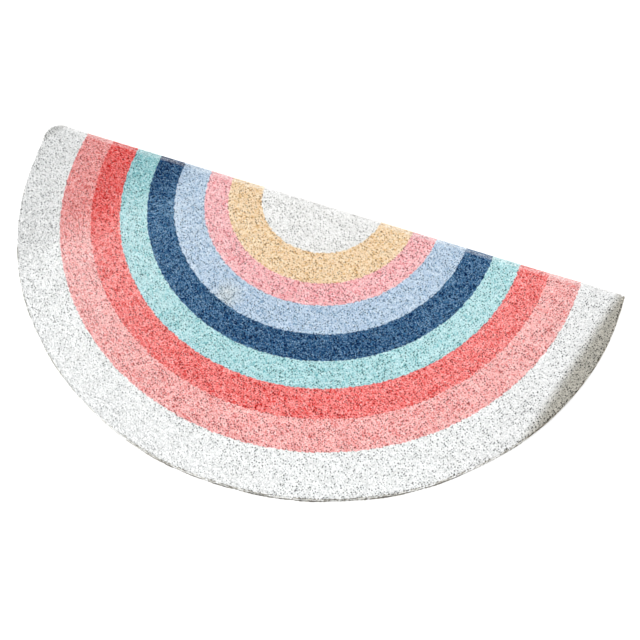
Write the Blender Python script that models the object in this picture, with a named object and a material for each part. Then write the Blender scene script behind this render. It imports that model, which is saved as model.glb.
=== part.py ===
"""Half-round doormat of looped vinyl coil, one sheet cut to shape and printed with arcs of colour.

Metres, +Z up. The mat lies on z = 0 with its straight edge towards +Y and its round rim towards -Y.
The origin is the middle of its bounding box, on the underside. Plane angles are counted clockwise from
the right tip, seen from above, so 90 degrees is the middle of the round rim.
"""

import math

import bmesh
import bpy
import numpy as np

MM = 0.001

# Driving dimensions
RIM_RADIUS = 378.4 * MM          # mean radius of the round rim about the centre of the printed arcs
EDGE_INSET = 6.8 * MM            # the straight edge is cut this far on the rim's side of that centre
THICKNESS = 10.0 * MM            # the coil web from underside to top
RIGHT_TIP_ROUND = 2.0 * MM       # corner radius of the crisp right tip
LEFT_TIP_ROUND = 22.0 * MM       # corner radius of the worn left tip
ARC_STEPS = 132                  # outline points along the round rim
TIP_STEPS = 8                    # outline points round each tip
EASE_LINES = 6                   # lines that let the sheet follow the ridge's inner slope
CREST_LINES = 6                  # the same over the crest and the outer slope
CROSS_LINES = 11                 # the same across the ridge
CURL_LINES = 5                   # the same across the curled tip
WELD = 0.05 * MM                 # points nearer than this, where scored lines cross, become one
FLAT_ANGLE = math.radians(0.02)  # faces that differ by less are joined into one

# The rim isn't a true circle: how far it stands out, as waves round the arc
RIM_WAVES = (
    # (height, waves in a full turn, angle of a crest in degrees)
    (1.3 * MM, 1, 0.0),
    (0.6 * MM, 3, 25.0),
    (0.3 * MM, 9, 23.0),
    (0.2 * MM, 17, 13.0),
)

# The right end has been bent along a chord of the rim: a low ridge with the rim back on the ground
RIDGE_HEIGHT = 4.0 * MM          # how far the mat is lifted at the middle of the ridge
RIDGE_TURN = math.radians(16.7)  # plane angle at which the chord stands nearest to the rim
RIDGE_DISTANCE = 359.5 * MM      # from the arcs' centre to the chord
RIDGE_EASE = 110.0 * MM          # length over which the lift fades inwards
RIDGE_ROUND = 4.0 * MM           # the crest is averaged over this far on each side

# The left tip curls up a little
CURL_HEIGHT = 5.0 * MM
CURL_LENGTH = 32.0 * MM          # from the tip's outermost point to where the curl starts
CURL_TURN = math.radians(210.0)  # plane angle that the curled tip points to

# Sheet colour and finish
VINYL_COLOUR = (0.86, 0.87, 0.87, 1.0)
VINYL_ROUGHNESS = 0.55


def clear_scene():
    """Removes every object that is in the scene."""
    for thing in list(bpy.data.objects):
        bpy.data.objects.remove(thing)


def direction(angle):
    """The unit vector at a plane angle, clockwise from the right tip."""
    return np.array([math.cos(angle), -math.sin(angle)])


def rim_stand(angle):
    """How far the rim stands out from its mean radius at a plane angle: a sum of cosine waves."""
    waves = (
        height * math.cos(count * (angle - math.radians(crest)))
        for height, count, crest in RIM_WAVES
    )
    return sum(waves)


def tip_centre(side, radius):
    """Centre of the round of a tip, which touches the straight edge and the rim. side is +1 or -1."""
    below = -EDGE_INSET - radius
    along = math.sqrt((RIM_RADIUS - radius) ** 2 - below**2)
    return np.array([side * along, below])


def outline():
    """The mat's outline about the centre of the arcs, clockwise from the right end of the straight edge."""
    right = tip_centre(1, RIGHT_TIP_ROUND)
    left = tip_centre(-1, LEFT_TIP_ROUND)
    arc_start = math.atan2(-right[1], right[0])
    arc_end = math.atan2(-left[1], left[0])
    straight = math.radians(-90.0)
    points = [
        right + RIGHT_TIP_ROUND * direction(a)
        for a in np.linspace(straight, arc_start, TIP_STEPS, endpoint=False)
    ]
    points += [
        RIM_RADIUS * direction(a) for a in np.linspace(arc_start, arc_end, ARC_STEPS, endpoint=False)
    ]
    points += [
        left + LEFT_TIP_ROUND * direction(a)
        for a in np.linspace(arc_end, math.radians(270.0), TIP_STEPS)
    ]
    shaped = []
    for point in points:
        angle = math.atan2(-point[1], point[0])
        shaped.append(point * (1.0 + rim_stand(angle) / RIM_RADIUS))
    return np.array(shaped)


def ridge_profile(beyond, room):
    """Share of the ridge's height at a distance beyond the crest, with room left to the rim.

    Before the crest it is a cosine ease. Past it, it is the square of the share of the room that is left.
    """
    if beyond < 0.0:
        return 0.5 + 0.5 * math.cos(math.pi * min(-beyond / RIDGE_EASE, 1.0))
    return max(1.0 - beyond / room, 0.0) ** 2


def ridge_lift(point):
    """Lift of the sheet at the bent right end. It is nothing at both ends of the chord."""
    outward = direction(RIDGE_TURN)
    along = np.array([-outward[1], outward[0]]) @ point
    half_chord = math.sqrt(RIM_RADIUS**2 - RIDGE_DISTANCE**2)
    share = 1.0 - (along / half_chord) ** 2
    if share <= 0.0:
        return 0.0
    room = (RIM_RADIUS - RIDGE_DISTANCE) * share
    beyond = outward @ point - RIDGE_DISTANCE
    taps = (beyond - RIDGE_ROUND, beyond, beyond + RIDGE_ROUND)
    return RIDGE_HEIGHT * share * sum(ridge_profile(tap, room) for tap in taps) / len(taps)


def curl_lift(point):
    """Lift of the curled left tip, the square of the way past the line where the curl starts."""
    outward = direction(CURL_TURN)
    tip = tip_centre(-1, LEFT_TIP_ROUND) + LEFT_TIP_ROUND * outward
    past = (outward @ (point - tip) + CURL_LENGTH) / CURL_LENGTH
    return CURL_HEIGHT * max(past, 0.0) ** 2


def flat_sheet(points):
    """A flat plate on the outline, from a filled 2D curve with half the thickness each way."""
    curve = bpy.data.curves.new("mat_outline", "CURVE")
    curve.dimensions = "2D"
    curve.fill_mode = "BOTH"
    curve.extrude = THICKNESS / 2
    spline = curve.splines.new("POLY")
    spline.points.add(len(points) - 1)
    for knot, (x, y) in zip(spline.points, points):
        knot.co = (x, y, 0.0, 1.0)
    spline.use_cyclic_u = True
    guide = bpy.data.objects.new("mat_outline", curve)
    bpy.context.scene.collection.objects.link(guide)
    bpy.context.view_layer.update()
    shown = guide.evaluated_get(bpy.context.evaluated_depsgraph_get())
    mesh = bpy.data.meshes.new_from_object(shown)
    bpy.data.objects.remove(guide)
    return mesh


def score(sheet, outward, distances):
    """Cuts the sheet's faces along lines across a direction, so that they can follow the relief there."""
    for distance in distances:
        bmesh.ops.bisect_plane(
            sheet,
            geom=sheet.verts[:] + sheet.edges[:] + sheet.faces[:],
            dist=1e-6,
            plane_co=(outward[0] * distance, outward[1] * distance, 0.0),
            plane_no=(outward[0], outward[1], 0.0),
        )


def score_bends(sheet):
    """Lines along and across the ridge, and across the curled tip."""
    outward = direction(RIDGE_TURN)
    along = np.array([-outward[1], outward[0]])
    half_chord = math.sqrt(RIM_RADIUS**2 - RIDGE_DISTANCE**2)
    ease_in = np.linspace(-RIDGE_EASE, -2 * RIDGE_ROUND, EASE_LINES)
    crest = np.linspace(-RIDGE_ROUND, RIM_RADIUS - RIDGE_DISTANCE, CREST_LINES)
    score(sheet, outward, RIDGE_DISTANCE + np.concatenate([ease_in, crest]))
    score(sheet, along, np.linspace(-half_chord, half_chord, CROSS_LINES))
    curl = direction(CURL_TURN)
    reach = curl @ tip_centre(-1, LEFT_TIP_ROUND) + LEFT_TIP_ROUND
    score(sheet, curl, np.linspace(reach - CURL_LENGTH, reach, CURL_LINES, endpoint=False))


def make_vinyl():
    """Soft white vinyl, matt."""
    vinyl = bpy.data.materials.new("vinyl_coil")
    vinyl.use_nodes = True
    shader = vinyl.node_tree.nodes["Principled BSDF"]
    shader.inputs["Base Color"].default_value = VINYL_COLOUR
    shader.inputs["Roughness"].default_value = VINYL_ROUGHNESS
    shader.inputs["Metallic"].default_value = 0.0
    return vinyl


def coil_mat(collection):
    """The whole mat: one sheet, scored where it bends, lifted by the ridge and the curl."""
    mesh = flat_sheet(outline())
    sheet = bmesh.new()
    sheet.from_mesh(mesh)
    bmesh.ops.remove_doubles(sheet, verts=sheet.verts[:], dist=1e-6)
    score_bends(sheet)
    bmesh.ops.remove_doubles(sheet, verts=sheet.verts[:], dist=WELD)
    for corner in sheet.verts:
        point = np.array(corner.co[:2])
        corner.co.z += THICKNESS / 2 + ridge_lift(point) + curl_lift(point)
    low = np.min([corner.co for corner in sheet.verts], axis=0)
    high = np.max([corner.co for corner in sheet.verts], axis=0)
    middle = (low + high) / 2
    bmesh.ops.translate(sheet, verts=sheet.verts[:], vec=(-middle[0], -middle[1], 0.0))
    bmesh.ops.recalc_face_normals(sheet, faces=sheet.faces[:])
    bmesh.ops.dissolve_limit(
        sheet, angle_limit=FLAT_ANGLE, verts=sheet.verts[:], edges=sheet.edges[:]
    )
    bmesh.ops.triangulate(sheet, faces=sheet.faces[:])
    sheet.to_mesh(mesh)
    sheet.free()
    mesh.name = "coil_mat"
    mesh.materials.clear()
    mesh.materials.append(make_vinyl())
    mesh.shade_smooth()
    mesh.set_sharp_from_angle(angle=math.radians(40.0))
    mat = bpy.data.objects.new("coil_mat", mesh)
    collection.objects.link(mat)
    return mat


clear_scene()
doormat = bpy.data.collections.new("half_round_doormat")
bpy.context.scene.collection.children.link(doormat)
coil_mat(doormat)
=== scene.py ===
"""Looks of the half-round doormat: a web of looped vinyl strands, printed on top with arcs of colour."""

import math

import bpy
import numpy as np
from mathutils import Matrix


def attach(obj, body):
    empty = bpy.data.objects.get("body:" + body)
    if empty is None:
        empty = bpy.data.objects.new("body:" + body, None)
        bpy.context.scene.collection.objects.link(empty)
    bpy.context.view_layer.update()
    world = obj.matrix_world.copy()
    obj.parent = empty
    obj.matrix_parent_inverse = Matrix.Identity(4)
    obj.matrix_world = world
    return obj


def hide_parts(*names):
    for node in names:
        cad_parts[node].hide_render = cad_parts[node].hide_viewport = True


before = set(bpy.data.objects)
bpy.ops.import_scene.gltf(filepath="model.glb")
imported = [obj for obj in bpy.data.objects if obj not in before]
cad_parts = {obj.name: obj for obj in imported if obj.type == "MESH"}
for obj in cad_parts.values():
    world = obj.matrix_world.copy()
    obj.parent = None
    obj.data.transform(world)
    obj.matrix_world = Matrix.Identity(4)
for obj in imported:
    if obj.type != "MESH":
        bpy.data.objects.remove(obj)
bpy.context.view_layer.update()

# The cut outline. The mat is die-cut from flat web as a half round, and its right end has since been bent
# and its left tip worn round and curled. Plane points are about the centre of the printed arcs, and plane
# angles run clockwise from the right tip. All strands and the web below follow these functions.
MM = 0.001
RIM_RADIUS = 378.4 * MM
EDGE_INSET = 6.8 * MM
THICKNESS = 10.0 * MM
RIGHT_TIP_ROUND = 2.0 * MM
LEFT_TIP_ROUND = 22.0 * MM
ARC_STEPS = 200
TIP_STEPS = 10
RIM_WAVES = (
    # (height, waves in a full turn, angle of a crest in degrees)
    (1.3 * MM, 1, 0.0),
    (0.6 * MM, 3, 25.0),
    (0.3 * MM, 9, 23.0),
    (0.2 * MM, 17, 13.0),
)
RIDGE_HEIGHT = 4.0 * MM
RIDGE_TURN = math.radians(16.7)
RIDGE_DISTANCE = 359.5 * MM
RIDGE_EASE = 110.0 * MM
RIDGE_ROUND = 4.0 * MM
CURL_HEIGHT = 5.0 * MM
CURL_LENGTH = 32.0 * MM
CURL_TURN = math.radians(210.0)


def direction(angle):
    """Unit vectors at plane angles: the cosine along x, and minus the sine along y."""
    return np.stack([np.cos(angle), -np.sin(angle)], axis=-1)


def rim_stand(points):
    """How far the rim stands out at the plane angle of each point: a sum of cosine waves."""
    angle = np.arctan2(-points[..., 1], points[..., 0])
    return sum(height * np.cos(count * (angle - math.radians(crest))) for height, count, crest in RIM_WAVES)


def tip_centre(side, tip_round):
    """Centre of a tip's round, which touches the straight edge and the rim. side is +1 or -1."""
    below = -EDGE_INSET - tip_round
    along = math.sqrt((RIM_RADIUS - tip_round) ** 2 - below**2)
    return np.array([side * along, below])


def outline(inset):
    """Points from the right end of the straight edge round the rim to its left end, moved inwards by inset.

    A small arc rounds each tip and a large one makes the rim, and the waves of the rim scale them.
    """
    right = tip_centre(1, RIGHT_TIP_ROUND)
    left = tip_centre(-1, LEFT_TIP_ROUND)
    arc_start = math.atan2(-right[1], right[0])
    arc_end = math.atan2(-left[1], left[0])
    right_turn = np.linspace(-math.pi / 2, arc_start, TIP_STEPS, endpoint=False)
    rim_turn = np.linspace(arc_start, arc_end, ARC_STEPS, endpoint=False)
    left_turn = np.linspace(arc_end, 1.5 * math.pi, TIP_STEPS)
    points = np.concatenate([
        right + (RIGHT_TIP_ROUND - inset) * direction(right_turn),
        (RIM_RADIUS - inset) * direction(rim_turn),
        left + (LEFT_TIP_ROUND - inset) * direction(left_turn),
    ])
    return points * (1.0 + rim_stand(points) / RIM_RADIUS)[:, None]


def bend_lift(points):
    """Lift of the web at each point: a ridge along a chord of the right end, and the curled left tip.

    The ridge rises by a cosine ease, falls by the square of the room left to the rim, and is averaged over
    its round. Its height is 1 - the square of the way to the chord's end. The curl is the square of the way
    past the line where it starts.
    """
    outward = direction(RIDGE_TURN)
    half_chord = math.sqrt(RIM_RADIUS**2 - RIDGE_DISTANCE**2)
    way_along = points @ np.array([-outward[1], outward[0]]) / half_chord
    share = np.clip(1.0 - way_along**2, 1e-9, None)
    room = (RIM_RADIUS - RIDGE_DISTANCE) * share
    past_crest = points @ outward - RIDGE_DISTANCE
    profile = 0.0
    for tap in (past_crest - RIDGE_ROUND, past_crest, past_crest + RIDGE_ROUND):
        rise = 0.5 + 0.5 * np.cos(math.pi * np.clip(-tap / RIDGE_EASE, 0.0, 1.0))
        fall = np.clip(1.0 - tap / room, 0.0, None) ** 2
        profile = profile + np.where(tap < 0.0, rise, fall) / 3.0
    curl_way = direction(CURL_TURN)
    curl_tip = tip_centre(-1, LEFT_TIP_ROUND) + LEFT_TIP_ROUND * curl_way
    past = ((points - curl_tip) @ curl_way + CURL_LENGTH) / CURL_LENGTH
    return RIDGE_HEIGHT * share * profile + CURL_HEIGHT * np.clip(past, 0.0, None) ** 2


cut_line = outline(0.0)
arcs_centre = -(cut_line.min(axis=0) + cut_line.max(axis=0)) / 2

# The camera. It looks down on the mat from in front and right of its middle, turned so that the straight
# edge runs down to the right. The place is from the arcs' centre on the mat's top.
LENS = 44.84  # millimetres
SENSOR_WIDTH = 36.0
CAMERA_PLACE = (195.0 * MM, -553.5 * MM, 820.0 * MM)
CAMERA_TURN = (27.01, -0.17, 20.08)  # degrees about x, y and z

camera = bpy.data.objects.new("camera", bpy.data.cameras.new("camera"))
camera.data.lens = LENS
camera.data.sensor_width = SENSOR_WIDTH
camera.location = (
    arcs_centre[0] + CAMERA_PLACE[0],
    arcs_centre[1] + CAMERA_PLACE[1],
    THICKNESS + CAMERA_PLACE[2],
)
camera.rotation_euler = [math.radians(turn) for turn in CAMERA_TURN]
bpy.context.scene.collection.objects.link(camera)
bpy.context.scene.camera = camera

# The web below the top loops. Soft PVC strands, melted together where they cross, make one springy sheet.
# It is the sheet that the loops stand on, and it is seen through the gaps between them.
WEB_TOP = 8.2 * MM
WEB_UNDERSIDE = 0.3 * MM
WEB_INSET = 1.3 * MM
WEB_EDGE_INSET = 0.8 * MM     # at the straight edge
WEB_ROWS = 56
WEB_WALL_STEPS = 2
WEB_UNDER_ROWS = 12
WEB_LUMP = 3.0 * MM           # size of a noise whose contour lines are the melted strands
WEB_WAVES = 26.0              # radians that the strands' wave turns while the noise goes from 0 to 1
WEB_TROUGH = -0.4             # of that wave, where the painted shade between strands is full
WEB_CREST = 0.5               # and where it ends on them
WEB_RELIEF = 0.5 * MM
GAP_TINT = (0.45, 0.45, 0.45, 1.0)  # of the gaps in the cut side, which lie in each other's shade
PVC_IOR = 1.53
MAP_HALF = 0.49               # height of each half of the map, and where its upper half starts
MAP_UPPER = 0.505

# The print. Ink is laid on the loops in arcs about one centre, and colours the strands that it reaches. It
# has worn where the mat is walked on and next to the straight edge.
BANDS = (
    # (name, outer radius, sRGB)
    ("white_core", 77.3 * MM, "F1F1F0"),
    ("sand", 119.5 * MM, "F1DCBB"),
    ("pink", 149.2 * MM, "F4C4C7"),
    ("pale_blue", 186.6 * MM, "C4D6E6"),
    ("navy", 220.1 * MM, "386792"),
    ("mint", 253.5 * MM, "BEE2E5"),
    ("coral", 289.1 * MM, "F28F8C"),
    ("salmon", 326.6 * MM, "F4BFBD"),
    ("white_rim", 400.0 * MM, "F2F3F3"),
)
BARE_VINYL = "F0F0EE"
PRINT_SHIFT = 0.23 * MM       # the print lies this far to the right of the centre
INK_FLOOR = 3.0 * MM          # height over the underside where the ink ends, and where it is full
INK_FULL = 5.5 * MM
PRINT_WANDER = 0.8 * MM       # the edge of a band moves by up to this to either side
WANDER_SCALE = 4.0 * MM
WANDER_NOISE = (0.25, 0.75)   # a noise mostly stays between these
INK_UNEVEN = 0.12             # the ink's depth, a power of the band's colour, is off 1 by up to this
INK_PATCH = 7.0 * MM          # in patches of this size
INK_NOISE = (0.3, 0.7)
WORN = (
    # (plane angle in degrees, distance from the arcs' centre, reach, fall of the ink's depth)
    (148.0, 270.0 * MM, 260.0 * MM, 0.22),
    (20.0, 235.0 * MM, 180.0 * MM, 0.13),
    (156.0, 191.0 * MM, 24.0 * MM, 0.25),
    (157.0, 285.0 * MM, 48.0 * MM, -0.17),  # less worn than the rest of the left side
)
SCUFF = (110.0, 176.0 * MM, 26.0 * MM, 0.55)  # its plane angle, distance, reach and share of the tint
SCUFF_TINT = (1.17, 1.0, 0.83, 1.0)
RUBBED_VINYL = "FFFFFF"       # shows where ink has rubbed off next to the straight edge
EDGE_PALE = 0.3               # share of the ink that is missing there
EDGE_PALE_START = 7.0 * MM    # distances from that edge where the ink starts to thin, and where it stays so
EDGE_PALE_FULL = 2.4 * MM
EDGE_INKED_START = 1.44 * MM  # and where it thickens again, because the outermost strand has kept it
EDGE_INKED_FULL = 0.96 * MM
INK_DEPTHS = {
    # how the ink lies, and the painted shade of a pit's ring and core and of the web's gaps: (power of the
    # band's colour, tone)
    "thin": (0.33, 1.06),
    "thick": (2.3, 0.92),
    "hole_ring_shade": (2.5, 0.9),
    "core": (2.4, 0.08),
    "web": (2.2, 0.94),
}

# The pits. Where the coils leave a hole, the colour is painted with shade: a dark core, and round it a deeper
# colour. Most are small, and they are shallower next to the straight edge and along the middle of the rim,
# where the web is pressed.
TOP_LANE_TURN = -0.49         # the way that the top coils were laid, in radians from the straight edge
PIT_SCALE = 2.3 * MM          # one pit on average in a square of this side
PIT_STRETCH = (1.1, 0.9)      # how much longer that is along the top coils' lanes, and its width across
PIT_RING = 0.49               # radius of the largest pit's ring of painted shade as a share of the square's side
PIT_CORE = 0.35               # of its core, and of the part of that which is fully dark
PIT_DARK = 0.2625
PIT_RARITY = 1.45             # large pits are rarer with a higher power
PIT_FADE = 2.8 * MM           # depths below the top where pits start to fade and where they end
PIT_END = 4.55 * MM
EDGE_PITS = 0.15              # share of their depth at the straight edge
EDGE_PITS_START = 9.5 * MM    # distances from that edge where they get shallower, and where they stay so
EDGE_PITS_FULL = 4.0 * MM
PRESSED_PITS = 0.62           # share of their depth past a line across the middle of the rim
PRESSED_TURN = math.radians(105.0)  # plane angle that the line faces
PRESSED_START = 318.0 * MM    # from the arcs' centre, outwards
PRESSED_FULL = 350.0 * MM

# Painted shade. The bent right end is painted grey evenly past its ridge and faintly before it. So is the
# left end a little, as a painted shadow that also deepens the print, and the left tip has a light grey border
# of painted shade.
RIGHT_SHADE_DEPTH = 2.2              # the painted shade takes the colour to this power
RIGHT_SHADE_TINT = (0.644, 0.608, 0.539, 1.0)
RIGHT_SHADE_START = -8.0 * MM        # from the ridge, outwards
RIGHT_SHADE_FULL = 7.0 * MM
FAINT_SHADE_START = -75.0 * MM      # from the ridge, outwards
FAINT_SHADE_FULL = -12.0 * MM
FAINT_SHADE_TINT = (0.955, 0.95, 0.95, 1.0)
# the left end's painted shadow: its line, the deepening of the print and its tint
LEFT_SHADE_TURN = math.radians(212.5)  # plane angle that the left end's line faces
LEFT_SHADE_START = 117.0 * MM       # from the arcs' centre, outwards
LEFT_SHADE_FULL = 182.0 * MM
LEFT_SHADE_INK = 0.44               # added there to the ink's power by the painted shadow, which deepens the print
LEFT_SHADE_TINT = (0.94, 0.935, 0.935, 1.0)
# the left tip's border of painted shade: its tint and its width
TIP_SHADE_TINT = (0.82, 0.82, 0.81, 1.0)
TIP_SHADE_BORDER = 14.0 * MM

# Settings of nodes: a mix of two colours, a colour times another, and an ease between two values
MIXED = {"data_type": "RGBA"}
TIMES = {"data_type": "RGBA", "blend_type": "MULTIPLY"}
EASED = {"interpolation_type": "SMOOTHSTEP"}


def linear(srgb):
    """Linear colour from an sRGB hex: c / 12.92, or ((c + 0.055) / 1.055) to the power 2.4."""
    parts = [int(srgb[i : i + 2], 16) / 255.0 for i in (0, 2, 4)]
    curved = [c / 12.92 if c <= 0.04045 else ((c + 0.055) / 1.055) ** 2.4 for c in parts]
    return (*curved, 1.0)


def new_material(name):
    """An empty node material, its tree and the tree's Principled shader."""
    made = bpy.data.materials.new(name)
    made.use_nodes = True
    return made, made.node_tree, made.node_tree.nodes["Principled BSDF"]


def node(tree, kind, settings, inputs, output=0):
    """Adds a node and gives one of its outputs. An input that is a socket is linked, any other is written."""
    added = tree.nodes.new(kind)
    for key, value in settings.items():
        setattr(added, key, value)
    for key, value in inputs.items():
        if isinstance(value, bpy.types.NodeSocket):
            tree.links.new(value, added.inputs[key])
        else:
            added.inputs[key].default_value = value
    return added.outputs[output]


def past_line(tree, place, turn, start, end):
    """Eases from 0 to 1 past a line that faces a plane angle, between two distances from the arcs' centre."""
    way = direction(turn)
    centre = arcs_centre @ way
    past = node(tree, "ShaderNodeVectorMath", {"operation": "DOT_PRODUCT"}, {
        0: place, 1: (*way, 0.0),
    }, "Value")
    return node(tree, "ShaderNodeMapRange", EASED, {
        "Value": past, "From Min": centre + start, "From Max": centre + end,
    })


def near_spot(tree, place, degrees, distance, reach, peak):
    """Eases from a peak at a spot on the top, given by its plane angle and distance, to 0 at a reach."""
    spot = (*(direction(math.radians(degrees)) * distance + arcs_centre), THICKNESS)
    away = node(tree, "ShaderNodeVectorMath", {"operation": "DISTANCE"}, {0: place, 1: spot}, "Value")
    return node(tree, "ShaderNodeMapRange", EASED, {
        "Value": away, "From Min": 0.0, "From Max": reach, "To Min": peak, "To Max": 0.0,
    })


def by_edge(tree, place, start, end, far, near):
    """Eases from a far to a near value towards the straight edge, between two distances from it."""
    forward = node(tree, "ShaderNodeSeparateXYZ", {}, {0: place}, "Y")
    edge = arcs_centre[1] - EDGE_INSET
    return node(tree, "ShaderNodeMapRange", EASED, {
        "Value": forward, "From Min": edge - start, "From Max": edge - end, "To Min": far, "To Max": near,
    })


def print_colour(tree, place):
    """Colour of the print at a place: the band that its distance from the arcs' centre falls in.

    A fine noise is added to the distance, so that an edge wanders from strand to strand.
    """
    flat = node(tree, "ShaderNodeMapping", {}, {
        "Vector": place,
        "Location": (-arcs_centre[0] - PRINT_SHIFT, -arcs_centre[1], 0.0),
        "Scale": (1.0, 1.0, 0.0),
    })
    radius = node(tree, "ShaderNodeVectorMath", {"operation": "LENGTH"}, {0: flat}, "Value")
    lumps = node(tree, "ShaderNodeTexNoise", {}, {
        "Vector": place, "Scale": 1.0 / WANDER_SCALE, "Detail": 1.0,
    })
    moved = node(tree, "ShaderNodeMapRange", EASED, {
        "Value": lumps, "From Min": WANDER_NOISE[0], "From Max": WANDER_NOISE[1],
        "To Min": -PRINT_WANDER, "To Max": PRINT_WANDER,
    })
    distance = node(tree, "ShaderNodeMath", {"operation": "ADD"}, {0: radius, 1: moved})
    colour = linear(BANDS[0][2])
    for (_, outer, _), (_, _, srgb) in zip(BANDS, BANDS[1:]):
        past = node(tree, "ShaderNodeMath", {"operation": "GREATER_THAN"}, {0: distance, 1: outer})
        colour = node(tree, "ShaderNodeMix", MIXED, {0: past, 6: colour, 7: linear(srgb)}, 2)
    return colour


def uneven_ink(tree, place, colour):
    """The print with thicker and thinner ink, which is the colour to a power about 1.

    A noise moves the power both ways in small patches. It falls where the mat has been walked on, and
    at the left end a painted shadow raises it. Next to the straight edge some of the ink has rubbed off, and
    a scuff has yellowed.
    """
    lumps = node(tree, "ShaderNodeTexNoise", {}, {"Vector": place, "Scale": 1.0 / INK_PATCH, "Detail": 1.0})
    power = node(tree, "ShaderNodeMapRange", EASED, {
        "Value": lumps, "From Min": INK_NOISE[0], "From Max": INK_NOISE[1],
        "To Min": 1.0 - INK_UNEVEN, "To Max": 1.0 + INK_UNEVEN,
    })
    for spot in WORN:
        worn = near_spot(tree, place, *spot)
        power = node(tree, "ShaderNodeMath", {"operation": "SUBTRACT"}, {0: power, 1: worn})
    # a painted shadow past the left end's line deepens the print
    left_shadow = past_line(tree, place, LEFT_SHADE_TURN, LEFT_SHADE_START, LEFT_SHADE_FULL)
    power = node(tree, "ShaderNodeMath", {"operation": "MULTIPLY_ADD"}, {0: left_shadow, 1: LEFT_SHADE_INK, 2: power})
    inked = node(tree, "ShaderNodeGamma", {}, {"Color": colour, "Gamma": power})
    pale = by_edge(tree, place, EDGE_PALE_START, EDGE_PALE_FULL, 0.0, EDGE_PALE)
    inner = by_edge(tree, place, EDGE_INKED_START, EDGE_INKED_FULL, 1.0, 0.0)
    rubbed = node(tree, "ShaderNodeMath", {"operation": "MULTIPLY"}, {0: pale, 1: inner})
    edged = node(tree, "ShaderNodeMix", MIXED, {0: rubbed, 6: inked, 7: linear(RUBBED_VINYL)}, 2)
    scuffed = near_spot(tree, place, *SCUFF)
    return node(tree, "ShaderNodeMix", TIMES, {0: scuffed, 6: edged, 7: SCUFF_TINT}, 2)


def ink_depth(tree, colour, name):
    """The same hue with more or less ink, or under painted shade: the colour to a power, times a tone."""
    power, tone = INK_DEPTHS[name]
    deep = node(tree, "ShaderNodeGamma", {}, {"Color": colour, "Gamma": power})
    return node(tree, "ShaderNodeMix", TIMES, {0: 1.0, 6: deep, 7: (tone, tone, tone, 1.0)}, 2)


def along_lanes(tree, place, stretch):
    """The place turned to the top coils' lanes and scaled, so that a pattern on it is longer along them."""
    return node(tree, "ShaderNodeMapping", {"vector_type": "TEXTURE"}, {
        "Vector": place, "Rotation": (0.0, 0.0, TOP_LANE_TURN), "Scale": (*stretch, 1.0),
    })


def pit_shade(tree, place):
    """Share of the pits' painted shade: none well below the top, less at the straight edge and in the pressed
    rim.
    """
    height = node(tree, "ShaderNodeSeparateXYZ", {}, {0: place}, "Z")
    reached = node(tree, "ShaderNodeMapRange", EASED, {
        "Value": height, "From Min": THICKNESS - PIT_END, "From Max": THICKNESS - PIT_FADE,
    })
    by_cut = by_edge(tree, place, EDGE_PITS_START, EDGE_PITS_FULL, 1.0, EDGE_PITS)
    pressed = past_line(tree, place, PRESSED_TURN, PRESSED_START, PRESSED_FULL)
    on_rim = node(tree, "ShaderNodeMath", {"operation": "MULTIPLY_ADD"}, {
        0: pressed, 1: PRESSED_PITS - 1.0, 2: 1.0,
    })
    shown = node(tree, "ShaderNodeMath", {"operation": "MULTIPLY"}, {0: reached, 1: by_cut})
    return node(tree, "ShaderNodeMath", {"operation": "MULTIPLY"}, {0: shown, 1: on_rim})


def with_hole_shade(tree, place, colour):
    """The colour with painted shade in pits where the coils leave a hole: a dark core, and a deeper colour
    round it.

    A pit lies at each point of a random scatter. The distance to the nearest, over that pit's own random
    share to a power, is small in the core and larger round it.
    """
    nearest = node(tree, "ShaderNodeTexVoronoi", {"voronoi_dimensions": "2D"}, {
        "Vector": along_lanes(tree, place, PIT_STRETCH), "Scale": 1.0 / PIT_SCALE,
    }, "Distance")
    share = node(tree, "ShaderNodeSeparateColor", {}, {"Color": nearest.node.outputs["Color"]})
    size = node(tree, "ShaderNodeMath", {"operation": "POWER"}, {0: share, 1: PIT_RARITY})
    away = node(tree, "ShaderNodeMath", {"operation": "DIVIDE"}, {0: nearest, 1: size})
    holed = colour
    # painted shade: a deeper ring round each pit, then its dark core
    for name, start, full in (("hole_ring_shade", PIT_RING, PIT_CORE), ("core", PIT_CORE, PIT_DARK)):
        inside = node(tree, "ShaderNodeMapRange", EASED, {"Value": away, "From Min": start, "From Max": full})
        deeper = ink_depth(tree, colour, name)
        holed = node(tree, "ShaderNodeMix", MIXED, {0: inside, 6: holed, 7: deeper}, 2)
    return node(tree, "ShaderNodeMix", MIXED, {0: pit_shade(tree, place), 6: colour, 7: holed}, 2)


def with_painted_shade(tree, place, colour):
    """The colour under painted shade, past the ridge's chord, past the left end's line and round the left
    tip.
    """
    share = past_line(tree, place, RIDGE_TURN, RIDGE_DISTANCE + RIGHT_SHADE_START, RIDGE_DISTANCE + RIGHT_SHADE_FULL)
    power = node(tree, "ShaderNodeMath", {"operation": "MULTIPLY_ADD"}, {
        0: share, 1: RIGHT_SHADE_DEPTH - 1.0, 2: 1.0,
    })
    painted_grey = node(tree, "ShaderNodeGamma", {}, {"Color": colour, "Gamma": power})
    near = past_line(tree, place, RIDGE_TURN, RIDGE_DISTANCE + FAINT_SHADE_START, RIDGE_DISTANCE + FAINT_SHADE_FULL)
    left = past_line(tree, place, LEFT_SHADE_TURN, LEFT_SHADE_START, LEFT_SHADE_FULL)
    tip_end = tip_centre(-1, LEFT_TIP_ROUND) @ direction(CURL_TURN) + LEFT_TIP_ROUND
    tip_shade = past_line(tree, place, CURL_TURN, tip_end - TIP_SHADE_BORDER, tip_end - TIP_SHADE_BORDER / 2)
    # painted shade: grey past the ridge and faintly before it, at the left end, and round the left tip
    for part, tint in ((share, RIGHT_SHADE_TINT), (near, FAINT_SHADE_TINT), (left, LEFT_SHADE_TINT), (tip_shade, TIP_SHADE_TINT)):
        painted_grey = node(tree, "ShaderNodeMix", TIMES, {0: part, 6: painted_grey, 7: tint}, 2)
    return painted_grey


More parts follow.
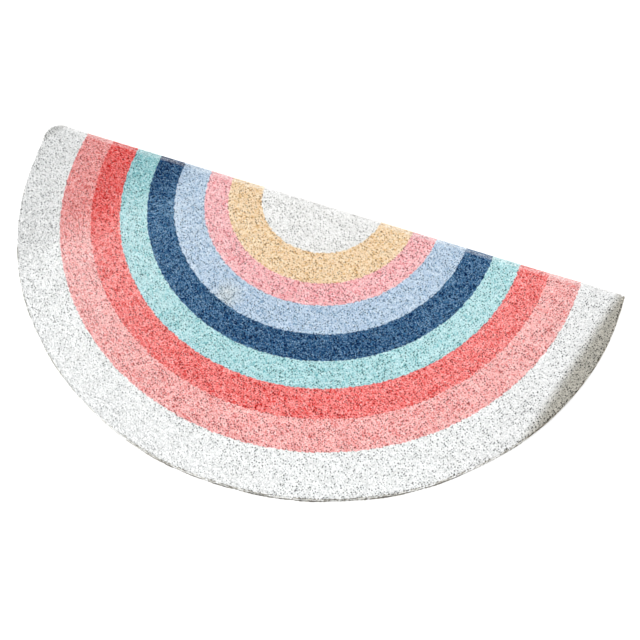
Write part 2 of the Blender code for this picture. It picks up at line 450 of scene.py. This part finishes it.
def melted_web():
    """Soft PVC web seen in the gaps: inked from above, with painted shade between the strands that cross it.

    The strands run where a noise's contour lines are, which is a sine of the noise.
    """
    material, tree, shader = new_material("melted_pvc_web")
    place = node(tree, "ShaderNodeTexCoord", {}, {}, "Object")
    lumps = node(tree, "ShaderNodeTexNoise", {}, {"Vector": place, "Scale": 1.0 / WEB_LUMP, "Detail": 1.0})
    phase = node(tree, "ShaderNodeMath", {"operation": "MULTIPLY"}, {0: lumps, 1: WEB_WAVES})
    wave = node(tree, "ShaderNodeMath", {"operation": "SINE"}, {0: phase})
    height = node(tree, "ShaderNodeSeparateXYZ", {}, {0: place}, "Z")
    inked = node(tree, "ShaderNodeMapRange", EASED, {
        "Value": height, "From Min": INK_FLOOR, "From Max": INK_FULL,
    })
    printed = uneven_ink(tree, place, print_colour(tree, place))
    colour = node(tree, "ShaderNodeMix", MIXED, {0: inked, 6: linear(BARE_VINYL), 7: printed}, 2)
    crest = node(tree, "ShaderNodeMapRange", EASED, {
        "Value": wave, "From Min": WEB_TROUGH, "From Max": WEB_CREST,
    })
    # painted shade: the colour deepens between the web's strands
    shaded = node(tree, "ShaderNodeMix", MIXED, {0: crest, 6: ink_depth(tree, colour, "web"), 7: colour}, 2)
    gap = node(tree, "ShaderNodeAttribute", {"attribute_name": "gap"}, {}, "Fac")
    gaps = node(tree, "ShaderNodeMix", TIMES, {0: gap, 6: with_hole_shade(tree, place, shaded), 7: GAP_TINT}, 2)
    relief = node(tree, "ShaderNodeBump", {}, {"Height": wave, "Distance": WEB_RELIEF})
    tree.links.new(with_painted_shade(tree, place, gaps), shader.inputs["Base Color"])
    tree.links.new(relief, shader.inputs["Normal"])
    shader.inputs["Roughness"].default_value = 0.6
    shader.inputs["Specular IOR Level"].default_value = 0.05
    shader.inputs["IOR"].default_value = PVC_IOR
    return material


def put_mesh(name, points, faces, material):
    """A smooth mesh object at the origin, from points and a list of face arrays, one for each corner count.

    It gets a map laid out from above, the lower half for faces that point up and the upper for the rest.
    """
    mesh = bpy.data.meshes.new(name)
    mesh.vertices.add(len(points))
    mesh.vertices.foreach_set("co", points.astype(np.float32).ravel())
    corners = np.concatenate([part.ravel() for part in faces])
    counts = np.concatenate([np.full(len(part), part.shape[1]) for part in faces])
    starts = np.concatenate([[0], np.cumsum(counts)[:-1]])
    mesh.loops.add(len(corners))
    mesh.loops.foreach_set("vertex_index", corners.astype(np.int32))
    mesh.polygons.add(len(counts))
    mesh.polygons.foreach_set("loop_start", starts.astype(np.int32))
    mesh.update(calc_edges=True)
    mesh.shade_smooth()
    facing = np.zeros(3 * len(counts), dtype=np.float32)
    mesh.polygons.foreach_get("normal", facing)
    downward = np.repeat(facing.reshape(-1, 3)[:, 2] < 0.0, counts)
    low, high = cut_line.min(axis=0) + arcs_centre, cut_line.max(axis=0) + arcs_centre
    share = np.clip((points[corners, :2] - low) / (high - low), 0.0, 1.0)
    share[:, 1] = MAP_HALF * share[:, 1] + MAP_UPPER * downward
    mesh.uv_layers.new(name="OFBake").uv.foreach_set("vector", share.astype(np.float32).ravel())
    mesh.materials.append(material)
    made = bpy.data.objects.new(name, mesh)
    bpy.context.scene.collection.objects.link(made)
    return made


def web_ring():
    """Shares from the straight edge to the rim and up from the underside, once round the web's section."""
    over = np.linspace(0.0, 1.0, WEB_ROWS + 1)
    wall = np.linspace(1.0, 0.0, WEB_WALL_STEPS + 1)[1:]
    under = np.linspace(1.0, 0.0, WEB_UNDER_ROWS + 1)[1:]
    back = np.linspace(0.0, 1.0, WEB_WALL_STEPS + 1)[1:-1]
    out = np.concatenate([over, np.ones(WEB_WALL_STEPS), under, np.zeros(WEB_WALL_STEPS - 1)])
    up = np.concatenate([np.ones(WEB_ROWS + 1), wall, np.zeros(WEB_UNDER_ROWS), back])
    return out, up


def web_sheet(material):
    """The web as a closed sheet: the section's ring carried round the rim.

    A ring's point lies between the straight edge and the rim by its first share, and between the underside
    and the top by its second, and the bends lift it.
    """
    rim = outline(WEB_INSET)
    edge = rim.copy()
    edge[:, 0] = np.clip(rim[:, 0], rim[-1, 0], rim[0, 0])
    edge[:, 1] = -EDGE_INSET - WEB_EDGE_INSET
    out, up = web_ring()
    plane = edge[:, None, :] + (rim - edge)[:, None, :] * out[None, :, None]
    height = WEB_UNDERSIDE + (WEB_TOP - WEB_UNDERSIDE) * up[None, :] + bend_lift(plane)
    points = np.concatenate([plane + arcs_centre, height[..., None]], axis=-1)
    rings, around = height.shape
    first = (np.arange(rings - 1)[:, None] * around + np.arange(around)[None, :]).ravel()
    beside = (np.arange(rings - 1)[:, None] * around + (np.arange(around) + 1)[None, :] % around).ravel()
    quads = np.stack([first, beside, beside + around, first + around], axis=-1)
    made = put_mesh("coil_web", points.reshape(-1, 3), [quads], material)
    gap = np.tile((up > 0.0) & (up < 1.0), rings)
    made.data.attributes.new("gap", "FLOAT", "POINT").data.foreach_set("value", gap.astype(np.float32))
    return made


web = web_sheet(melted_web())
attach(web, "root")
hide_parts("coil_mat")

# The loops. Fine nozzles lay soft PVC strands in overlapping coils, and the coils melt together where they
# touch. The upper coils carry the print, and the lower ones, laid wider, fill the gaps between them.
STRAND = 1.05 * MM
CUT_REACH = 2.2 * MM          # strands that reach past the cut by up to this are pressed back to it
LAYERS = (
    # (name, pitch and gap of the lanes, loop radius, stretch, lane turn, top, dip, inset from the cut)
    ("top_loops", 5.6 * MM, 2.3 * MM, 1.15, TOP_LANE_TURN, THICKNESS, 2.2 * MM, 0.6 * MM),
    ("cross_loops", 5.6 * MM, 2.3 * MM, 0.87, 1.08, THICKNESS, 2.2 * MM, 0.6 * MM),
    ("lower_loops", 5.8 * MM, 2.7 * MM, 1.0, 0.3, THICKNESS - 0.5 * MM, 2.0 * MM, 0.8 * MM),
)
LAYER_PIECES = 2
SHORTEST_RUN = 3              # points; shorter ends that the cut leaves have fallen off
COIL_STEPS = 7                # points in a turn
LANE_REACH = 1.06 * RIM_RADIUS  # the lanes reach this far to each side of the mat's middle
COIL_UNEVEN = {
    # what strays: (by how much, turns from one random value to the next)
    "angle": (0.9, 1.3),      # radians
    "radius": (0.22, 0.8),    # share of the loop radius
    "lane": (0.35, 3.0),      # share of the gap between lanes
    "pace": (0.3, 1.7),       # share of the pitch
    "crossing": (1.2, 2.0),   # radians that a coil's dip is turned by
    "sag": (0.5 * MM, 0.9),
}
STRAND_UNEVEN = 0.02          # spread of the tone from strand to strand
STRAND_TONES = (0.8, 1.12)    # its limits
SPECK_SCALE = 0.9 * MM        # the ink's specks, light where it is thin and deep where it is thick
SPECK_STRETCH = (1.6, 0.6)    # how much longer they are along the top coils' lanes, and their width across
SPECKS = (
    # (how the ink lies, where that starts in the specks' noise, where it is full)
    ("thin", 0.56, 0.66),
    ("thick", 0.46, 0.37),
)
SHADE_AND_TONE_TINT = (1.08, 1.0, 0.8, 1.0)  # strands darker by chance or by painted shade on the cut's side and rim turn brown as they darken

TIPS = ((1, RIGHT_TIP_ROUND), (-1, LEFT_TIP_ROUND))


def even_points(points):
    """Points as they would lie if the rim were a true circle, and how much the rim's waves scaled them."""
    stand = (1.0 + rim_stand(points) / RIM_RADIUS)[..., None]
    return points / stand, stand


def tip_corner(even, side, tip_round):
    """Points from the centre of a tip's round, and whether each lies past that centre both ways."""
    from_tip = even - tip_centre(side, tip_round)
    past_rim = np.hypot(even[..., 0], even[..., 1]) > RIM_RADIUS - tip_round
    return from_tip, (side * even[..., 0] > 0) & (from_tip[..., 1] > 0) & past_rim


def room_to_cut(points):
    """Distance from each point to the cut, less than nothing outside it.

    It is the smaller of the distances to the straight edge and to the rim, or in a tip's corner the tip's
    round less the distance from its centre.
    """
    even, _ = even_points(points)
    to_rim = RIM_RADIUS - np.hypot(even[..., 0], even[..., 1])
    room = np.minimum(-EDGE_INSET - even[..., 1], to_rim)
    for side, tip_round in TIPS:
        from_tip, corner = tip_corner(even, side, tip_round)
        room = np.where(corner, tip_round - np.hypot(from_tip[..., 0], from_tip[..., 1]), room)
    return room


def pulled_in(points, inset):
    """Points moved back to a line at an inset from the cut, where they lie outside it.

    They move straight down from the straight edge, towards the arcs' centre from the rim, and towards the
    tip's centre in a tip's corner.
    """
    even, stand = even_points(points)
    held = np.stack([even[..., 0], np.minimum(even[..., 1], -EDGE_INSET - inset)], axis=-1)
    reach = np.linalg.norm(held, axis=-1, keepdims=True)
    held = held * np.minimum(1.0, (RIM_RADIUS - inset) / np.maximum(reach, MM))
    for side, tip_round in TIPS:
        from_tip, corner = tip_corner(even, side, tip_round)
        reach = np.linalg.norm(from_tip, axis=-1, keepdims=True)
        shrunk = from_tip * np.minimum(1.0, (tip_round - inset) / np.maximum(reach, MM))
        held = np.where(corner[..., None], tip_centre(side, tip_round) + shrunk, held)
    return held * stand


def lane_noise(random, lanes, stations, amount, spacing):
    """Smooth random values at the stations along each lane, times an amount.

    Random knots stand at a spacing from each other, and 3t^2 - 2t^3 joins them.
    """
    knots = random.normal(size=(lanes, int(stations[-1] / spacing) + 2))
    index = (stations / spacing).astype(int)
    part = stations / spacing - index
    eased = part**2 * (3.0 - 2.0 * part)
    return amount * (knots[:, index] * (1.0 - eased) + knots[:, index + 1] * eased)


def coil_lanes(random, pitch, loop_radius, stretch, lane_turn, top, dip, inset):
    """Points of strands laid in coils along lanes, and the number of the unbroken run that each is in.

    A strand moves along its lane by the pitch in each turn and circles meanwhile: the lane's point plus the
    radius along the cosine and the sine of the turning angle, stretched along the lane. Its height falls
    from the top by the dip on one side of each coil and comes back on the other, so that each coil lies
    under the next. What reaches a little past the cut is pressed back to it, and the rest is left out.
    """
    lanes = int(2 * LANE_REACH / pitch)
    stations = np.arange(lanes * COIL_STEPS) / COIL_STEPS
    angle = 2 * math.pi * stations + lane_noise(random, lanes, stations, *COIL_UNEVEN["angle"])
    hand = np.where(random.random((lanes, 1)) < 0.5, -1.0, 1.0)
    radius = loop_radius * (1.0 + lane_noise(random, lanes, stations, *COIL_UNEVEN["radius"]))
    sideways = (np.arange(lanes)[:, None] + 0.5) * pitch - LANE_REACH
    sideways = sideways + pitch * lane_noise(random, lanes, stations, *COIL_UNEVEN["lane"])
    start = random.random((lanes, 1)) * pitch
    forward = stations[None, :] * pitch - LANE_REACH + start
    forward = forward + pitch * lane_noise(random, lanes, stations, *COIL_UNEVEN["pace"])
    along = forward + stretch * radius * np.cos(angle)
    across = sideways + hand * radius * np.sin(angle) / stretch
    lane_way = np.array([math.cos(lane_turn), math.sin(lane_turn)])
    lane_side = np.array([-lane_way[1], lane_way[0]])
    plane = along[..., None] * lane_way + across[..., None] * lane_side
    plane[..., 1] -= RIM_RADIUS / 2
    fall = 0.5 - 0.5 * np.cos(angle + lane_noise(random, lanes, stations, *COIL_UNEVEN["crossing"]))
    sag = np.abs(lane_noise(random, lanes, stations, *COIL_UNEVEN["sag"]))
    height = top - STRAND / 2 - dip * fall - sag
    kept = room_to_cut(plane) > -CUT_REACH
    changes = np.diff(kept.astype(int), axis=1, prepend=0) != 0
    run = np.cumsum(changes.ravel())[kept.ravel()]
    plane = pulled_in(plane[kept], inset)
    path = np.concatenate([plane + arcs_centre, (height[kept] + bend_lift(plane))[:, None]], axis=-1)
    long_enough = np.bincount(run)[run] >= SHORTEST_RUN
    return path[long_enough], run[long_enough]


def strand_tubes(name, path, run, facing, material, **attributes):
    """Closed tubes of three sides along runs of points.

    Round each point stand three corners, a third of a turn apart, in the plane across the strand, with a
    side towards facing. Corners of neighbours in a run are joined, and its two ends are capped.
    """
    joined = run[:-1] == run[1:]
    has_next = np.append(joined, False)
    has_last = np.insert(joined, 0, False)
    ahead = np.where(has_next[:, None], np.roll(path, -1, axis=0), path)
    behind = np.where(has_last[:, None], np.roll(path, 1, axis=0), path)
    tangent = ahead - behind
    tangent /= np.linalg.norm(tangent, axis=1, keepdims=True)
    side = np.cross(tangent, facing)
    side /= np.linalg.norm(side, axis=1, keepdims=True)
    front = np.cross(side, tangent)
    turn = math.pi / 3 + 2 * math.pi / 3 * np.arange(3)
    corner_radius = STRAND / math.sqrt(3.0)
    ring = np.cos(turn)[None, :, None] * front[:, None, :] + np.sin(turn)[None, :, None] * side[:, None, :]
    points = (path[:, None, :] + corner_radius * ring).reshape(-1, 3)
    first = 3 * np.nonzero(has_next)[0][:, None]
    here = first + np.arange(3)[None, :]
    after = first + (np.arange(3)[None, :] + 1) % 3
    quads = np.stack([here, here + 3, after + 3, after], axis=-1).reshape(-1, 4)
    starts = 3 * np.nonzero(has_next & ~has_last)[0][:, None] + np.array([0, 1, 2])
    ends = 3 * np.nonzero(has_last & ~has_next)[0][:, None] + np.array([2, 1, 0])
    made = put_mesh(name, points, [quads, np.concatenate([starts, ends])], material)
    for label, values in attributes.items():
        layer = made.data.attributes.new(label, "FLOAT", "POINT")
        layer.data.foreach_set("value", np.repeat(values, 3).astype(np.float32))
    return made


def printed_strand():
    """Soft PVC strand with a matt ink on it: the band's colour where the ink reaches, bare vinyl elsewhere.

    Where a fine noise is high the ink is thin and light, and where it is low the ink is thick and deep.
    Pits get painted shade, and the tone darkens a strand, a little by chance and with painted shade on
    the cut's side and top strand, browner as it darkens.
    """
    material, tree, shader = new_material("printed_pvc_strand")
    place = node(tree, "ShaderNodeTexCoord", {}, {}, "Object")
    ink = node(tree, "ShaderNodeAttribute", {"attribute_name": "ink"}, {}, "Fac")
    tone = node(tree, "ShaderNodeAttribute", {"attribute_name": "tone"}, {}, "Fac")
    printed = uneven_ink(tree, place, print_colour(tree, place))
    colour = node(tree, "ShaderNodeMix", MIXED, {0: ink, 6: linear(BARE_VINYL), 7: printed}, 2)
    specks = node(tree, "ShaderNodeTexNoise", {}, {
        "Vector": along_lanes(tree, place, SPECK_STRETCH), "Scale": 1.0 / SPECK_SCALE, "Detail": 1.0,
    })
    grained = colour
    for name, start, full in SPECKS:
        inside = node(tree, "ShaderNodeMapRange", EASED, {
            "Value": specks, "From Min": start, "From Max": full,
        })
        speck = ink_depth(tree, colour, name)
        grained = node(tree, "ShaderNodeMix", MIXED, {0: inside, 6: grained, 7: speck}, 2)
    toned = node(tree, "ShaderNodeMix", TIMES, {0: 1.0, 6: with_hole_shade(tree, place, grained), 7: tone}, 2)
    # painted shade and chance darkening by the tone also turn the strand brown
    darkness = node(tree, "ShaderNodeMath", {"operation": "SUBTRACT", "use_clamp": True}, {0: 1.0, 1: tone})
    painted_shading = node(tree, "ShaderNodeMix", TIMES, {0: darkness, 6: toned, 7: SHADE_AND_TONE_TINT}, 2)
    tree.links.new(with_painted_shade(tree, place, painted_shading), shader.inputs["Base Color"])
    shader.inputs["Roughness"].default_value = 0.55
    shader.inputs["Specular IOR Level"].default_value = 0.1
    shader.inputs["IOR"].default_value = PVC_IOR
    return material


def ink_at(height):
    """Share of ink on a strand at a height over the underside: none below INK_FLOOR, all above INK_FULL."""
    return np.clip((height - INK_FLOOR) / (INK_FULL - INK_FLOOR), 0.0, 1.0)


strand_material = printed_strand()
random = np.random.default_rng(7)
upright = np.array([0.0, 0.0, 1.0])
for layer_name, *laid in LAYERS:
    path, run = coil_lanes(random, *laid)
    ink = ink_at(path[:, 2] - bend_lift(path[:, :2] - arcs_centre))
    tone = 1.0 + STRAND_UNEVEN * random.normal(size=run.max() + 1)[run]
    for number, share in enumerate(np.array_split(np.unique(run), LAYER_PIECES), 1):
        chosen = (run >= share[0]) & (run <= share[-1])
        piece = strand_tubes(
            f"{layer_name}_{number}", path[chosen], run[chosen], upright, strand_material,
            ink=ink[chosen], tone=np.clip(tone[chosen], *STRAND_TONES),
        )
        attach(piece, "root")

# The cut wall. Cutting the web to shape leaves the coils open along its side, where they stand upright, one
# over the other, and show bare vinyl below the print. The side is darkened with painted shade round the rim,
# and left unshaded at the straight edge.
WALL_ROWS = (
    # (height of the coils' middle, loop radius, pitch, dip, depth behind the cut)
    (2.9 * MM, 2.15 * MM, 4.3 * MM, 1.4 * MM, 0.6 * MM),
    (7.1 * MM, 2.15 * MM, 4.1 * MM, 1.4 * MM, 0.6 * MM),
    (5.0 * MM, 2.60 * MM, 4.7 * MM, 1.2 * MM, 1.5 * MM),
)
WALL_STEPS = 8                # points in a turn
WALL_UNEVEN = {
    # what strays: (by how much, turns from one random value to the next)
    "angle": (0.8, 1.3),      # radians
    "radius": (0.15, 0.8),    # share of the loop radius
    "height": (0.3 * MM, 2.0),
    "crossing": (1.0, 2.0),   # radians that a coil's dip is turned by
    # "tone": how the side's painted shade strays
    "tone": (0.12, 0.7),
}
WALL_SHADE = 0.28              # painted shade of the side at the rim, and its lower limit
WALL_SHADE_DARKEST = 0.05
WALL_INK_RISE = 2.0 * MM      # the ink ends this much higher on the side
SHADE_EASE = 8.0 * MM
SHADE_LEFT = (-160.0 * MM, -30.0 * MM)  # along the straight edge, where the painted shade of the rim's side starts
CUT_STEPS = 4000              # points that the cut's length is divided into

cut_ring = np.concatenate([cut_line, cut_line[:1]])
ring_way = np.concatenate([[0.0], np.cumsum(np.linalg.norm(np.diff(cut_ring, axis=0), axis=1))])
cut_length = ring_way[-1]


def cut_path(way, depth):
    """Plane points and outward directions at a way round the cut, moved behind it by a depth.

    The outline and the straight edge close a ring, whose length is measured along its points. Outwards is
    a quarter turn from the ring's direction.
    """
    fine = np.linspace(0.0, cut_length, CUT_STEPS)
    at = np.stack([np.interp(fine, ring_way, cut_ring[:, axis]) for axis in (0, 1)], axis=-1)
    tangent = np.gradient(at, axis=0)
    tangent /= np.linalg.norm(tangent, axis=1, keepdims=True)
    outward = np.stack([-tangent[:, 1], tangent[:, 0]], axis=-1)
    way = np.mod(way, cut_length)
    place = np.stack([np.interp(way, fine, at[:, axis]) for axis in (0, 1)], axis=-1)
    facing = np.stack([np.interp(way, fine, outward[:, axis]) for axis in (0, 1)], axis=-1)
    return place - facing * depth[:, None], facing


for number, (middle, loop_radius, pitch, dip, behind) in enumerate(WALL_ROWS, 1):
    stations = np.arange(int(cut_length / pitch) * WALL_STEPS) / WALL_STEPS
    angle = 2 * math.pi * stations + lane_noise(random, 1, stations, *WALL_UNEVEN["angle"])[0]
    radius = loop_radius * (1.0 + lane_noise(random, 1, stations, *WALL_UNEVEN["radius"])[0])
    way = stations * pitch + radius * np.cos(angle)
    height = middle + lane_noise(random, 1, stations, *WALL_UNEVEN["height"])[0] + radius * np.sin(angle)
    height = np.clip(height, STRAND / 2, THICKNESS - STRAND / 2)
    dip_angle = angle + lane_noise(random, 1, stations, *WALL_UNEVEN["crossing"])[0]
    plane, facing = cut_path(way, behind + dip * (0.5 - 0.5 * np.cos(dip_angle)))
    path = np.concatenate([plane + arcs_centre, (height + bend_lift(plane))[:, None]], axis=-1)
    # painted shade on the rim's side, none at the straight edge
    painted_shading = np.clip((-EDGE_INSET - plane[:, 1]) / SHADE_EASE - 1.0, 0.0, 1.0)
    painted_shading = painted_shading * np.clip((plane[:, 0] - SHADE_LEFT[0]) / (SHADE_LEFT[1] - SHADE_LEFT[0]), 0.0, 1.0)
    wall_shade = WALL_SHADE + lane_noise(random, 1, stations, *WALL_UNEVEN["tone"])[0]
    piece = strand_tubes(
        f"cut_wall_row_{number}", path, np.zeros(len(path), dtype=int),
        np.concatenate([facing, np.zeros((len(facing), 1))], axis=-1), strand_material,
        ink=ink_at(height - WALL_INK_RISE),
        tone=1.0 - (1.0 - np.clip(wall_shade, WALL_SHADE_DARKEST, 1.0)) * painted_shading,
    )
    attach(piece, "root")

# The cut's top strand. The blade pressed the web's uppermost strands down into one line all round, which
# makes the outline clean to the eye. Round the rim it is darkened with painted shade in patches, least at the
# rim's two ends, and along the straight edge a little.
CUT_STRAND_STEP = 2.0 * MM
CUT_STRAND_BEHIND = 0.6 * MM  # how far the middle of the strand lies behind the cut
CUT_STRAND_BELOW = 0.6 * STRAND  # and below the top
CUT_STRAND_DROP = 0.15 * MM   # how much lower it lies round the rim than at the straight edge
CUT_STRAND_UNEVEN = (0.12 * MM, 1.6)  # by how much it strays, steps from one random value to the next
RIM_EASE = 2.0 * MM           # over this it changes from the straight edge's strand to the rim's
# painted shade of the top strand: a little along the straight edge, and round the rim by plane angle
EDGE_SHADE_TONE = 0.9
RIM_SHADE_TONES = (
    # (plane angle in degrees, tone)
    (10.0, 1.0),
    (31.0, 0.85),
    (37.0, 0.45),
    (43.0, 0.8),
    (70.0, 0.5),
    (95.0, 0.55),
    (110.0, 0.82),
    (138.0, 0.55),
    (150.0, 1.0),
)
RIM_SHADE_PATCHES = (
    # (length of a patch of painted shade, how much it moves the tone)
    (11.0 * MM, 0.17),
    (3.2 * MM, 0.17),
)
RIM_SHADE_DARKEST = 0.2

stations = np.arange(int(cut_length / CUT_STRAND_STEP) + 0.0)
stray = lane_noise(random, 2, stations, *CUT_STRAND_UNEVEN)
plane, _ = cut_path(stations * cut_length / len(stations), CUT_STRAND_BEHIND + np.abs(stray[0]))
on_rim = np.clip((-EDGE_INSET - plane[:, 1]) / RIM_EASE - 0.5, 0.0, 1.0)
height = THICKNESS - CUT_STRAND_BELOW - CUT_STRAND_DROP * on_rim + stray[1] + bend_lift(plane)
rim_shade = np.interp(np.degrees(np.arctan2(-plane[:, 1], plane[:, 0])), *np.array(RIM_SHADE_TONES).T)
for length, spread in RIM_SHADE_PATCHES:
    rim_shade = rim_shade + lane_noise(random, 1, stations, spread, length / CUT_STRAND_STEP)[0]
rim_shade = np.clip(rim_shade, RIM_SHADE_DARKEST, 1.0)
cut_strand = strand_tubes(
    "cut_strand", np.concatenate([plane + arcs_centre, height[:, None]], axis=-1),
    np.zeros(len(plane), dtype=int), upright, strand_material,
    ink=np.ones(len(plane)), tone=EDGE_SHADE_TONE + (rim_shade - EDGE_SHADE_TONE) * on_rim,
)
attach(cut_strand, "root")

# The floor and the studio light.
floor_mesh = bpy.data.meshes.new("floor")
floor_mesh.from_pydata([(-4, -4, 0), (4, -4, 0), (4, 4, 0), (-4, 4, 0)], [], [(0, 1, 2, 3)])
floor = bpy.data.objects.new("floor", floor_mesh)
bpy.context.scene.collection.objects.link(floor)
floor_paint, _, floor_shader = new_material("pale_floor_paint")
floor_shader.inputs["Base Color"].default_value = linear("F0F0F0")
floor_shader.inputs["Roughness"].default_value = 0.9
floor_mesh.materials.append(floor_paint)

sun = bpy.data.objects.new("window_light", bpy.data.lights.new("window_light", "SUN"))
sun.data.energy = 2.42
sun.data.angle = math.radians(30.0)
sun.rotation_euler = (math.radians(18.0), 0.0, math.radians(-10.0))
bpy.context.scene.collection.objects.link(sun)
world = bpy.data.worlds.new("studio")
world.use_nodes = True
world.node_tree.nodes["Background"].inputs["Color"].default_value = linear("FFFFFF")
world.node_tree.nodes["Background"].inputs["Strength"].default_value = 0.791
bpy.context.scene.world = world
bpy.context.scene.view_settings.view_transform = "Standard"
